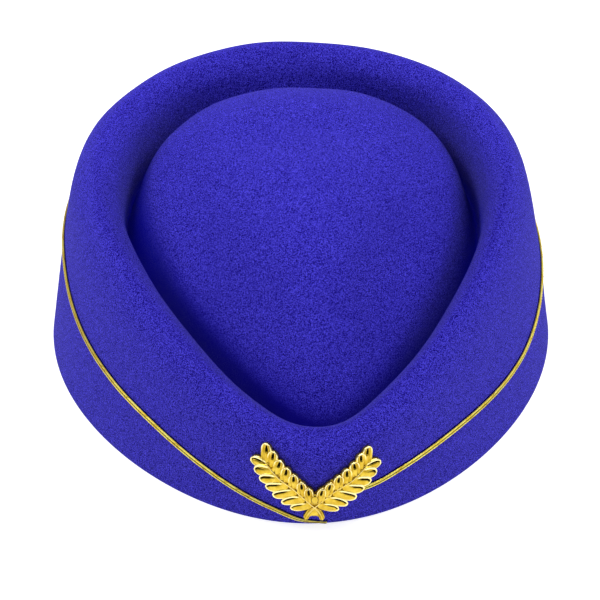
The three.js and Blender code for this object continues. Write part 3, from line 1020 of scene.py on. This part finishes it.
# Where each leaf grows from the stem (0 at the foot, 1 at its end), its tip's x and z, and half width
outerLeaves = [
    (0.93, 20.6, 29.3, 2.0), (0.88, 19.1, 25.9, 2.3), (0.79, 17.3, 23.1, 2.35), (0.7, 15.3, 20.4, 2.4),
    (0.59, 13.1, 17.4, 2.45), (0.49, 10.5, 14.2, 2.4), (0.4, 7.8, 11.0, 2.2),
]
innerLeaves = [
    (1.0, 16.1, 36.3, 1.8), (0.92, 13.7, 34.6, 1.75), (0.84, 11.5, 32.2, 1.75), (0.74, 9.4, 30.1, 1.75),
    (0.63, 7.2, 27.7, 1.75), (0.51, 4.7, 24.7, 1.75), (0.41, 2.3, 22.1, 1.65),
]
leafForm = {
    "alongSteps": 40,
    "acrossSteps": 34,
    "blade": 0.95,           # the height of a leaf's face
    "rim": 0.34,             # how far its edge stands above that
    "rimWidth": 0.32,
    "hollow": 0.32,          # how deep the cut along an outer leaf and the hollow in an inner one are
    "ridge": 0.3,            # how far an outer leaf's ridge stands above its face
    "shingle": 0.06,         # how much higher each leaf lies than the one above it
    "rootOut": 0.06,
}
# How bluntly a leaf closes towards its tip: the curve's bend and how full it stays
leafTips = {"outer": (2.7, 0.62), "inner": (3.6, 0.52)}
# Pairs are places along the leaf, and single values are places, widths or shares across it.
outerLeafForm = {
    "cutStarts": (0.12, 0.3),
    "middle": 0.3,
    "middleDrop": 0.14,
    "drops": (0.7, 1),
    "spread": 0.05,
    "spreadGrowth": 0.12,
    "spreads": (0.15, 0.55),
    "ridgeOff": 0.2,
    "ridgeWidth": 0.2,
    "lowerBulge": 0.16,
    "darkShare": 0.35,
    "darkens": (0.25, 0.55),
}
innerLeafForm = {
    "tongueWidth": 0.3,
    "tongueEnds": (0.5, 0.62),
    "tongueRise": 0.7,
    "grooveAt": 0.46,
    "grooveWidth": 0.12,
    "grooveStarts": (0.1, 0.5),
    "grooveDepth": 0.4,
    "grooveMark": 0.45,
    "hollowWidth": 0.21,
    "hollowNarrowing": 0.13,
    "narrows": (0.7, 0.95),
    "hollowStarts": (0.5, 0.6),
}
recessFrom = 0.1             # what is recessed less than this gets a painted highlight instead of painted shade


def badgeStandoff(x, z):
    leaves = smoothStep(np.abs(x), *badgeForm["cordFrom"]) * (1 - smoothStep(z, *badgeForm["cordUpTo"]))
    feet = 1 - smoothStep(z, *badgeForm["cordFoot"])
    return badgeForm["restGap"] + badgeForm["overCord"] * np.minimum(leaves + feet, 1)


# Bends the badge's flat points to the felt's front. Its foot stands a little to the right.
def badgeToWall(flat):
    x, z, out = flat.T
    x = x + badgeForm["footShift"] * (1 - smoothStep(z, *badgeForm["footTo"]))
    tilt = -math.radians(badgeForm["tilt"])
    up = z - badgeForm["tiltHeight"]
    turnedX = x * math.cos(tilt) - up * math.sin(tilt)
    turnedZ = x * math.sin(tilt) + up * math.cos(tilt)
    points, normals = frontSeats(badgeForm["middleX"] + turnedX, badgeForm["tiltHeight"] + turnedZ)
    return points + normals * (badgeStandoff(x, z) + out)[:, None]


# A closed relief body over a grid: its face has the given heights, and its back is flat. The grid's own
# faces look back at the felt, so each is turned round about its first corner to point outwards.
def reliefBody(x, z, heights, back=0.0):
    rows, columns = x.shape
    face = np.stack([x, z, heights], -1).reshape(-1, 3)
    edges = [x[:, [0, -1]], z[:, [0, -1]], np.full((rows, 2), back)]
    under = np.stack(edges, -1).reshape(-1, 3)
    faces = gridFaces(rows, columns, closed=False)
    first = rows * columns
    for row in range(rows - 1):
        low, high = first + 2 * row, first + 2 * row + 2
        left, right = row * columns, row * columns + columns - 1
        faces.append((left, left + columns, high, low))
        faces.append((right + columns, right, low + 1, high + 1))
        faces.append((low, high, high + 1, low + 1))
    lastRow = (rows - 1) * columns
    lastUnder = first + 2 * rows - 2
    faces.append(tuple(range(columns - 1, -1, -1)) + (first, first + 1))
    faces.append(tuple(range(lastRow, lastRow + columns)) + (lastUnder + 1, lastUnder))
    return np.concatenate([face, under]), [corners[:1] + corners[:0:-1] for corners in faces]


# The outer leaf's face has a ridge along its upper side with a deep cut below it. Raised is the place
# across, growing towards that side.
def outerFace(along, raised, rim, inside, tipward):
    form = outerLeafForm
    reach = smoothStep(along, *form["cutStarts"])
    middle = form["middle"] - form["middleDrop"] * smoothStep(along, *form["drops"])
    spread = form["spread"] + form["spreadGrowth"] * smoothStep(along, *form["spreads"])
    cut = (1 - smoothStep(np.abs(raised - middle), spread * 0.7, spread * 1.5)) * reach * inside
    ridge = swelling(raised, middle + spread + form["ridgeOff"], form["ridgeWidth"]) * reach
    lowerBulge = form["lowerBulge"] * np.sin(np.clip(middle - spread - raised, 0, 1) * math.pi)
    relief = np.maximum(leafForm["rim"] * rim, leafForm["ridge"] * ridge) + lowerBulge * inside
    # painted shade in the cut, darker towards the tip
    darkening = (1 - form["darkShare"]) * smoothStep(along, *form["darkens"])
    recess = cut * (form["darkShare"] + darkening)
    # painted highlight on the rim towards the tip and on the ridge's upper side
    bright = np.maximum(rim * tipward, ridge * (raised > middle))
    return relief, cut, recess, bright


# The inner leaf's face has a tongue between two grooves that ends in a slim hollow under its tip.
def innerFace(along, across, rim, inside, tipward):
    form = innerLeafForm
    tongue = np.exp(-(across / form["tongueWidth"]) ** 4) * (1 - smoothStep(along, *form["tongueEnds"]))
    groove = swelling(np.abs(across), form["grooveAt"], form["grooveWidth"])
    groove = groove * smoothStep(along, *form["grooveStarts"]) * inside
    slim = form["hollowWidth"] - form["hollowNarrowing"] * smoothStep(along, *form["narrows"])
    hollow = 1 - smoothStep(np.abs(across), slim * 0.8, slim * 1.5)
    hollow = hollow * smoothStep(along, *form["hollowStarts"]) * inside
    relief = leafForm["rim"] * np.maximum(rim, form["tongueRise"] * tongue)
    cut = np.maximum(hollow, groove * form["grooveDepth"])
    # painted shade in the hollow and the grooves
    recess = np.maximum(hollow, groove * form["grooveMark"])
    # rim * tipward is the painted highlight on the rim towards the tip
    return relief, cut, recess, rim * tipward


# A leaf from root to tip, 1 long and 1 wide each way, with its heights in mm. Recess is 1 where shade
# is painted in the hollows and -1 where a highlight is painted on the edges.
def leafRelief(kind, side):
    along = np.linspace(0, 1, leafForm["alongSteps"])[:, None] ** 0.85
    across = np.sin(np.linspace(-1, 1, leafForm["acrossSteps"]) * math.pi / 2)[None, :]
    rising = np.sin(math.pi / 2 * np.clip((along + 0.22) / 0.62, 0, 1)) ** 0.9
    bend, fullness = leafTips[kind]
    closing = (1 - np.clip((along - 0.5) / 0.5, 0, 1) ** bend) ** fullness
    halfWidth = np.maximum(rising * closing, 0.04)
    edge = (1 - np.abs(across) ** 12) ** 0.5
    rootEnd = np.clip(along / 0.06 + 0.35, 0, 1) ** 0.6
    tipEnd = np.clip((1 - along) / 0.02 + 0.3, 0, 1) ** 0.6
    gap = np.minimum((1 - np.abs(across)) * halfWidth * 2.0, (1 - along) * 6.5)  # mm to the outline
    rimWidth = leafForm["rimWidth"]
    rim = swelling(gap, rimWidth, rimWidth)
    inside = smoothStep(gap, rimWidth * 1.3, rimWidth * 2.3)
    tipward = smoothStep(along, 0.3, 0.85)
    if kind == "outer":
        relief, cut, recess, bright = outerFace(along, side * across, rim, inside, tipward)
    else:
        relief, cut, recess, bright = innerFace(along, across, rim, inside, tipward)
    heights = leafForm["blade"] + relief - leafForm["hollow"] * cut
    heights = heights * edge * (rootEnd * tipEnd) + 0.02
    points, faces = reliefBody(along + 0 * across, halfWidth * across, heights)
    recess = np.where(recess > recessFrom, recess, -bright) * edge
    return points, faces, np.concatenate([recess.ravel(), np.zeros(2 * len(along))])


def badgeLeafTree():
    tree = bpy.data.node_groups.new("laurelLeaves", "GeometryNodeTree")
    addSockets(tree, [
        ("Roots", "INPUT", "Geometry", None),
        ("Leaf", "INPUT", "Object", None),
        ("Material", "INPUT", "Material", None),
        ("Leaves", "OUTPUT", "Geometry", None),
    ])
    entry = addNode(tree, "NodeGroupInput").outputs
    leaf = addNode(tree, "GeometryNodeObjectInfo", {"Object": entry["Leaf"]})
    turn = addNode(tree, "ShaderNodeCombineXYZ", {"Z": readAttribute(tree, "turn")})
    size = addNode(tree, "ShaderNodeCombineXYZ", {
        "X": readAttribute(tree, "length"), "Y": readAttribute(tree, "halfWidth"), "Z": 1.0,
    })
    placed = addNode(tree, "GeometryNodeInstanceOnPoints", {
        "Points": entry["Roots"], "Instance": leaf.outputs["Geometry"],
        "Rotation": turn.outputs[0], "Scale": size.outputs[0],
    })
    real = addNode(tree, "GeometryNodeRealizeInstances", {"Geometry": placed.outputs[0]})
    coated = addNode(tree, "GeometryNodeSetMaterial", {
        "Geometry": real.outputs[0], "Material": entry["Material"],
    })
    leave = addNode(tree, "NodeGroupOutput")
    tree.links.new(coated.outputs[0], leave.inputs["Leaves"])
    return tree


def stemPlaces(places):
    control = np.array(stemPoints, dtype=float)
    last = len(control) - 1
    weight = np.asarray(places, dtype=float) * last
    index = np.clip(weight.astype(int), 0, last - 1)
    here, there = control[index], control[index + 1]
    before, after = control[np.maximum(index - 1, 0)], control[np.minimum(index + 2, last)]
    return cubicPoints(here, there, (there - before) / 2, (after - here) / 2, (weight - index)[:, None])


# Places across a ribbon, from -1 to 1, closest together at its edges
def acrossRibbon():
    return np.sin(np.linspace(-1, 1, stemForm["across"]) * math.pi / 2)[None, :]


def ribbonRelief(side, places, halfWidths, heights, back):
    middle = stemPlaces(places)
    heading = np.gradient(middle, axis=0)
    heading /= np.linalg.norm(heading, axis=1, keepdims=True)
    reach = halfWidths[:, None] * acrossRibbon()
    x = middle[:, :1] - heading[:, 1:] * reach
    z = middle[:, 1:] + heading[:, :1] * reach
    if side < 0:
        x, z, heights = -x[:, ::-1], z[:, ::-1], heights[:, ::-1]
    return reliefBody(x, z, heights + back, back)


def joinMeshes(parts):
    points, faces, recess = [], [], []
    count = 0
    for part in parts:
        points.append(part[0])
        faces += [tuple(count + corner for corner in face) for face in part[1]]
        recess.append(part[2] if len(part) > 2 else np.zeros(len(part[0])))
        count += len(part[0])
    return np.concatenate(points), faces, np.concatenate(recess)


def stemPart(side):
    places = np.linspace(0, 1, stemForm["steps"])
    across = acrossRibbon()
    stalk = smoothStep(places, *stemForm["barEnd"])
    bar = (1 - stalk)[:, None]
    halfWidths = stemForm["footHalfWidth"] * (1 - stalk) + stemForm["stalkHalfWidth"] * stalk
    footEnd = np.sqrt(np.clip(places / 0.05, 0.08, 1))
    halfWidths = halfWidths * footEnd * (1 - stemForm["narrowing"] * places)
    keel = swelling(across, 0, stemForm["keelWidth"]) * smoothStep(places, 0.1, 0.2)[:, None]
    valley = swelling(np.abs(across), stemForm["valleyAt"], stemForm["valleyWidth"]) * bar
    rounded = (1 - np.abs(across) ** 5) ** 0.45
    dip = stemForm["barDip"] - stemForm["keelRise"] * keel
    heights = stemForm["height"] * (1 - dip * bar) * rounded * (1 - stemForm["valleyDip"] * valley)
    # painted highlight on the keel and the stalk, painted shade in the bar's valleys
    paintedHighlight = stemForm["highlightMark"] * np.maximum(keel, 1 - bar)
    recess = stemForm["valleyMark"] * valley
    recess = np.where(recess > recessFrom, recess, paintedHighlight)
    if side < 0:
        recess = recess[:, ::-1]
    back = stemForm["crossingBack"] if side > 0 else 0.0
    points, faces = ribbonRelief(side, places, halfWidths, heights, back)
    return points, faces, np.concatenate([recess.ravel(), np.zeros(2 * len(places))])


def platePart(side):
    places = np.linspace(plateForm["start"], plateForm["end"], plateForm["steps"])
    across = acrossRibbon()
    swell = np.linspace(*plateForm["swell"], plateForm["steps"])
    halfWidths = plateForm["halfWidth"] * np.sin(math.pi * swell) ** 0.5
    profile = plateForm["height"] + plateForm["crowning"] * (1 - np.abs(across))
    heights = (1 - np.abs(across) ** 8) ** 0.5 * profile + 0 * places[:, None]
    back = plateForm["rightBack"] if side > 0 else plateForm["leftBack"]
    return ribbonRelief(side, places, halfWidths, heights, back)


def forkPart():
    rows = np.linspace(forkForm["foot"], forkForm["top"], forkForm["rows"])[:, None]
    across = acrossRibbon()
    arch = 1 - smoothStep(rows, forkForm["foot"], forkForm["archEnd"])
    arch = forkForm["arch"] * across ** 2 * arch
    halfWidths = forkForm["footHalfWidth"] - forkForm["waistCut"] * smoothStep(rows, *forkForm["waist"])
    halfWidths = halfWidths + forkForm["topFlare"] * smoothStep(rows, *forkForm["flare"])
    heights = forkForm["height"] * (1 - np.abs(across) ** 8) ** 0.5 + 0 * rows
    return reliefBody(-halfWidths * across, rows - arch, heights + forkForm["back"], forkForm["back"])


def knobPart():
    rings, sides = knobForm["rings"], knobForm["sides"]
    turns = [column / sides * math.tau for column in range(sides)]

    def onRing(reach, turn, out):
        x = knobForm["halfWidth"] * reach * math.cos(turn)
        return x, knobForm["middleZ"] + knobForm["halfHeight"] * reach * math.sin(turn), out

    points, recess = [], []
    for row in range(1, rings + 1):
        reach = row / rings
        groove = swelling(reach, knobForm["grooveAt"], knobForm["grooveWidth"])
        dome = knobForm["dome"] * math.sqrt(1 - reach ** 3)
        rise = knobForm["edgeRise"] + dome - knobForm["grooveDepth"] * groove
        for turn in turns:
            points.append(onRing(reach, turn, rise))
            # painted shade in the groove and, faintly, over the dome
            domed = knobForm["domeMark"] * (reach < knobForm["domeTo"])
            recess.append(max(knobForm["grooveMark"] * groove, domed))
    for turn in turns:
        points.append(onRing(1, turn, knobForm["back"]))
        recess.append(0)
    top = len(points)
    points.append(onRing(0, 0, knobForm["edgeRise"] + knobForm["dome"]))
    recess.append(knobForm["domeMark"])
    faces = gridFaces(rings + 1, sides)
    faces += [((column + 1) % sides, column, top) for column in range(sides)]
    faces.append(tuple(rings * sides + column for column in range(sides)))
    return np.array(points), [face[::-1] for face in faces], np.array(recess)


giltFinish = {
    "gold": (0.56, 0.355, 0.02),
    "pale": (0.75, 0.545, 0.07),
    # painted highlight on the edges
    "paintedHighlight": (1.0, 0.88, 0.4),
    # painted shade in the hollows
    "recess": (0.008, 0.005, 0.0005),
    "paintedHighlightMarks": (-0.15, -0.8),
    "darkMarks": (0.2, 0.75),
    "roughness": 0.18,
    "scratchRoughness": 0.2,
    "recessRoughness": 0.25,
}


def giltMaterial():
    material, tree, shader = newMaterial("giltMetal", **{"Metallic": 1.0})
    handling = groupNode(tree, metalHandling, Vector=objectPlace(tree))
    recess = surfaceMark(tree, "recess")
    face = colourRamp(tree, handling.outputs["Cloud"], [
        (0.35, giltFinish["gold"]), (0.7, giltFinish["pale"]),
    ])
    # painted highlight on the edges
    bright = mapRange(tree, recess, *giltFinish["paintedHighlightMarks"])
    edged = mixColours(tree, bright, face, giltFinish["paintedHighlight"])
    # painted shade in the hollows
    dark = mapRange(tree, recess, *giltFinish["darkMarks"])
    mixed = mixColours(tree, dark, edged, giltFinish["recess"])
    tree.links.new(mixed, shader.inputs["Base Color"])
    scratched = addMath(tree, "MULTIPLY", handling.outputs["Scratch"], giltFinish["scratchRoughness"])
    rough = addMath(tree, "ADD", scratched, giltFinish["roughness"])
    dulled = addMath(tree, "MULTIPLY", dark, giltFinish["recessRoughness"])
    tree.links.new(addMath(tree, "ADD", rough, dulled), shader.inputs["Roughness"])
    bump = addNode(tree, "ShaderNodeBump", {
        "Height": handling.outputs["Cloud"], "Strength": 0.15, "Distance": 0.0003,
    })
    tree.links.new(bump.outputs[0], shader.inputs["Normal"])
    return material


def leafSet(name, kind, side, rows, material, tree):
    points, faces, recess = leafRelief(kind, side)
    leaf = meshPiece(name + "Pattern", points / mm, faces)  # kept in whole mm until it is bent
    storeValues(leaf, "recess", recess)
    roots, turns, lengths = [], [], []
    for number, (grows, tipX, tipZ, _) in enumerate(rows):
        rootX, rootZ = stemPlaces([grows])[0]
        roots.append((side * rootX, rootZ, leafForm["rootOut"] + leafForm["shingle"] * number))
        turns.append(math.atan2(tipZ - rootZ, side * (tipX - rootX)))
        lengths.append(math.hypot(tipX - rootX, tipZ - rootZ))
    holder = meshPiece(name, np.array(roots) / mm, [])
    storeValues(holder, "turn", turns)
    storeValues(holder, "length", lengths)
    storeValues(holder, "halfWidth", [row[3] for row in rows])
    runNodes(holder, tree, {"Leaf": leaf, "Material": material})
    mesh = holder.data
    flat = np.empty(len(mesh.vertices) * 3)
    mesh.vertices.foreach_get("co", flat)
    depths = np.empty(len(mesh.vertices))
    mesh.attributes["recess"].data.foreach_get("value", depths)
    result = (flat.reshape(-1, 3), [tuple(face.vertices) for face in mesh.polygons], depths)
    dropPieces(leaf, holder)
    return result


def laurelBadge():
    material = giltMaterial()
    tree = badgeLeafTree()
    parts = [forkPart(), knobPart()]
    for side in (1, -1):
        parts += [stemPart(side), platePart(side)]
    for side in (1, -1):
        parts.append(leafSet("outerLeaves", "outer", side, outerLeaves, material, tree))
        parts.append(leafSet("innerLeaves", "inner", side, innerLeaves, material, tree))
    flat, faces, recess = joinMeshes(parts)
    bent = badgeToWall(flat)
    post = turnedOnPost([
        (postForm["radius"], -badgeForm["restGap"] - postForm["rootOut"]),
        (postForm["radius"], postForm["reach"] - 0.2),
        (postForm["radius"] - 0.2, postForm["reach"]),
    ], postForm["sides"])
    points, faces, recess = joinMeshes([(bent, faces, recess), post])
    piece = meshPiece("laurelBadge", points + formShift, faces)
    storeValues(piece, "recess", recess)
    piece.data.materials.append(material)
    return piece


print("laurel badge")
badge = laurelBadge()
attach(badge, rootBody)
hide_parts("wreath_badge")


# Clutch on the badge's post, inside the hat
clutchForm = {
    "radius": 4.5,
    "mouthRadius": 2.6,
    "depth": 3.0,
    "shoulderDepth": 0.9,
    "bore": 0.9,
    "boreFloor": 0.5,
    "seatGap": 0.4,
    "sides": 56,
}
steelFinish = {
    "dull": (0.52, 0.50, 0.46),
    "bright": (0.66, 0.65, 0.62),
    "roughness": 0.18,
    "scratchRoughness": 0.3,
}


def clutchMaterial():
    material, tree, shader = newMaterial("clutchSteel", **{"Metallic": 1.0})
    handling = groupNode(tree, metalHandling, Vector=objectPlace(tree))
    colour = colourRamp(tree, handling.outputs["Cloud"], [
        (0.3, steelFinish["dull"]), (0.7, steelFinish["bright"]),
    ])
    tree.links.new(colour, shader.inputs["Base Color"])
    scratched = addMath(tree, "MULTIPLY", handling.outputs["Scratch"], steelFinish["scratchRoughness"])
    rough = addMath(tree, "ADD", scratched, steelFinish["roughness"])
    tree.links.new(rough, shader.inputs["Roughness"])
    return material


# From the bore's floor out over the mouth and the rounded shoulder to the dished back
def pinClutch():
    front = feltForm["thickness"] + clutchForm["seatGap"]
    depth, radius, bore = clutchForm["depth"], clutchForm["radius"], clutchForm["bore"]
    floor, shoulder = depth - clutchForm["boreFloor"], clutchForm["shoulderDepth"]
    profile = [
        (bore, floor), (bore, 0.1), (bore + 0.1, 0.0), (clutchForm["mouthRadius"], 0.0),
        (radius - 0.25, shoulder - 0.12), (radius - 0.06, shoulder + 0.05), (radius, shoulder + 0.3),
        (radius, depth - 0.35), (radius - 0.1, depth - 0.1), (radius - 0.35, depth),
        (2.4, depth), (2.2, depth - 0.25), (1.2, depth - 0.3),
    ]
    points, faces = turnedOnPost([(r, front + d) for r, d in profile], clutchForm["sides"])
    piece = meshPiece("pinClutch", points + formShift, faces)
    piece.data.materials.append(clutchMaterial())
    return piece


print("pin clutch")
clutch = pinClutch()
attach(clutch, rootBody)
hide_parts("pin_clutch")


# Floor, lights and camera
studio = {
    "floorSize": 80.0,
    "floorColour": (0.5, 0.5, 0.5, 1),
    "floorGlow": 1.6,
    "skyStrength": 0.35,
    "horizonStrength": 1.02,
    "cameraSideStrength": 0.12,
    "cameraSide": (0.0, -0.83, 0.56),
    "cameraSideRange": (0.2, 0.95),
    "horizonRange": (0.1, 0.35),
}
# Softboxes: where they stand and their size in metres, and their power in watts
softboxes = {
    "topBox": {"at": (0.0, 0.75, 1.15), "size": (1.2, 0.8), "power": 1.6},
    "leftBox": {"at": (-0.68, 0.0, 1.18), "size": (0.6, 1.0), "power": 10.7},
    "rightBox": {"at": (0.62, 0.0, 1.2), "size": (0.6, 1.0), "power": 12.0},
}
# The photo's view: the angles in degrees, the rest in mm
view = {
    "elevation": 41.937, "azimuth": -3.657, "roll": 0.31,
    "target": (-1.705, -14.5, 30.6), "distance": 969, "lens": 166.7, "sensor": 36,
}


def makeFloor():
    half = studio["floorSize"] / 2 / mm
    corners = [(-half, -half, 0), (half, -half, 0), (half, half, 0), (-half, half, 0)]
    floor = meshPiece("floor", corners, [(0, 1, 2, 3)])
    material, tree, shader = newMaterial("paleFloor", **{
        "Base Color": studio["floorColour"], "Roughness": 0.7, "Specular IOR Level": 0.2,
        "Emission Color": studio["floorColour"], "Emission Strength": studio["floorGlow"],
    })
    # seen from below it lets the view through, so that the inside of the hat shows
    output = tree.nodes["Material Output"]
    facing = addNode(tree, "ShaderNodeNewGeometry").outputs["Backfacing"]
    clear = addNode(tree, "ShaderNodeBsdfTransparent")
    mixed = addNode(tree, "ShaderNodeMixShader", {
        0: facing, 1: shader.outputs[0], 2: clear.outputs[0],
    })
    tree.links.new(mixed.outputs[0], output.inputs["Surface"])
    floor.data.materials.append(material)


def makeLights():
    for name, spec in softboxes.items():
        light = bpy.data.lights.new(name, "AREA")
        light.shape = "RECTANGLE"
        light.size, light.size_y = spec["size"]
        light.energy = spec["power"]
        lamp = bpy.data.objects.new(name, light)
        scene.collection.objects.link(lamp)
        lamp.location = spec["at"]
        aim = Vector((0, 0, 0.03)) - Vector(spec["at"])
        lamp.rotation_euler = aim.to_track_quat("-Z", "Y").to_euler()


# The room is pale all round, palest low down, and darker on the side that the photo was taken from.
def makeSky():
    world = bpy.data.worlds.new("studioRoom")
    scene.world = world
    world.use_nodes = True
    tree = world.node_tree
    background = tree.nodes["Background"]
    direction = addNode(tree, "ShaderNodeTexCoord").outputs["Generated"]
    towards = dotProduct(tree, direction, studio["cameraSide"])
    shade = mapRange(
        tree, towards, *studio["cameraSideRange"], studio["skyStrength"], studio["cameraSideStrength"],
        interpolation_type="SMOOTHSTEP",
    )
    height = addNode(tree, "ShaderNodeSeparateXYZ", {"Vector": direction}).outputs["Z"]
    horizon = mapRange(
        tree, height, *studio["horizonRange"], studio["horizonStrength"], 0.0,
        interpolation_type="SMOOTHSTEP",
    )
    tree.links.new(addMath(tree, "MAXIMUM", shade, horizon), background.inputs["Strength"])
    background.inputs["Color"].default_value = (1, 1, 1, 1)


def makeCamera():
    elevation, azimuth, roll = (math.radians(view[key]) for key in ("elevation", "azimuth", "roll"))
    back = Vector((
        math.sin(azimuth) * math.cos(elevation),
        -math.cos(azimuth) * math.cos(elevation),
        math.sin(elevation),
    ))
    right = (-back).cross(Vector((0, 0, 1))).normalized()
    up = right.cross(-back)
    rolledRight = right * math.cos(roll) + up * math.sin(roll)
    rolledUp = up * math.cos(roll) - right * math.sin(roll)
    place = (Vector(view["target"]) + Vector(formShift) + back * view["distance"]) * mm
    camera = bpy.data.objects.new("photoCamera", bpy.data.cameras.new("photoCamera"))
    scene.collection.objects.link(camera)
    camera.matrix_world = Matrix((rolledRight, rolledUp, back)).transposed().to_4x4()
    camera.location = place
    camera.data.sensor_width = view["sensor"]
    camera.data.lens = view["lens"]
    camera.data.clip_end = 200
    scene.camera = camera


print("floor, lights and camera")
makeFloor()
makeLights()
makeSky()
makeCamera()
scene.view_settings.view_transform = "Standard"
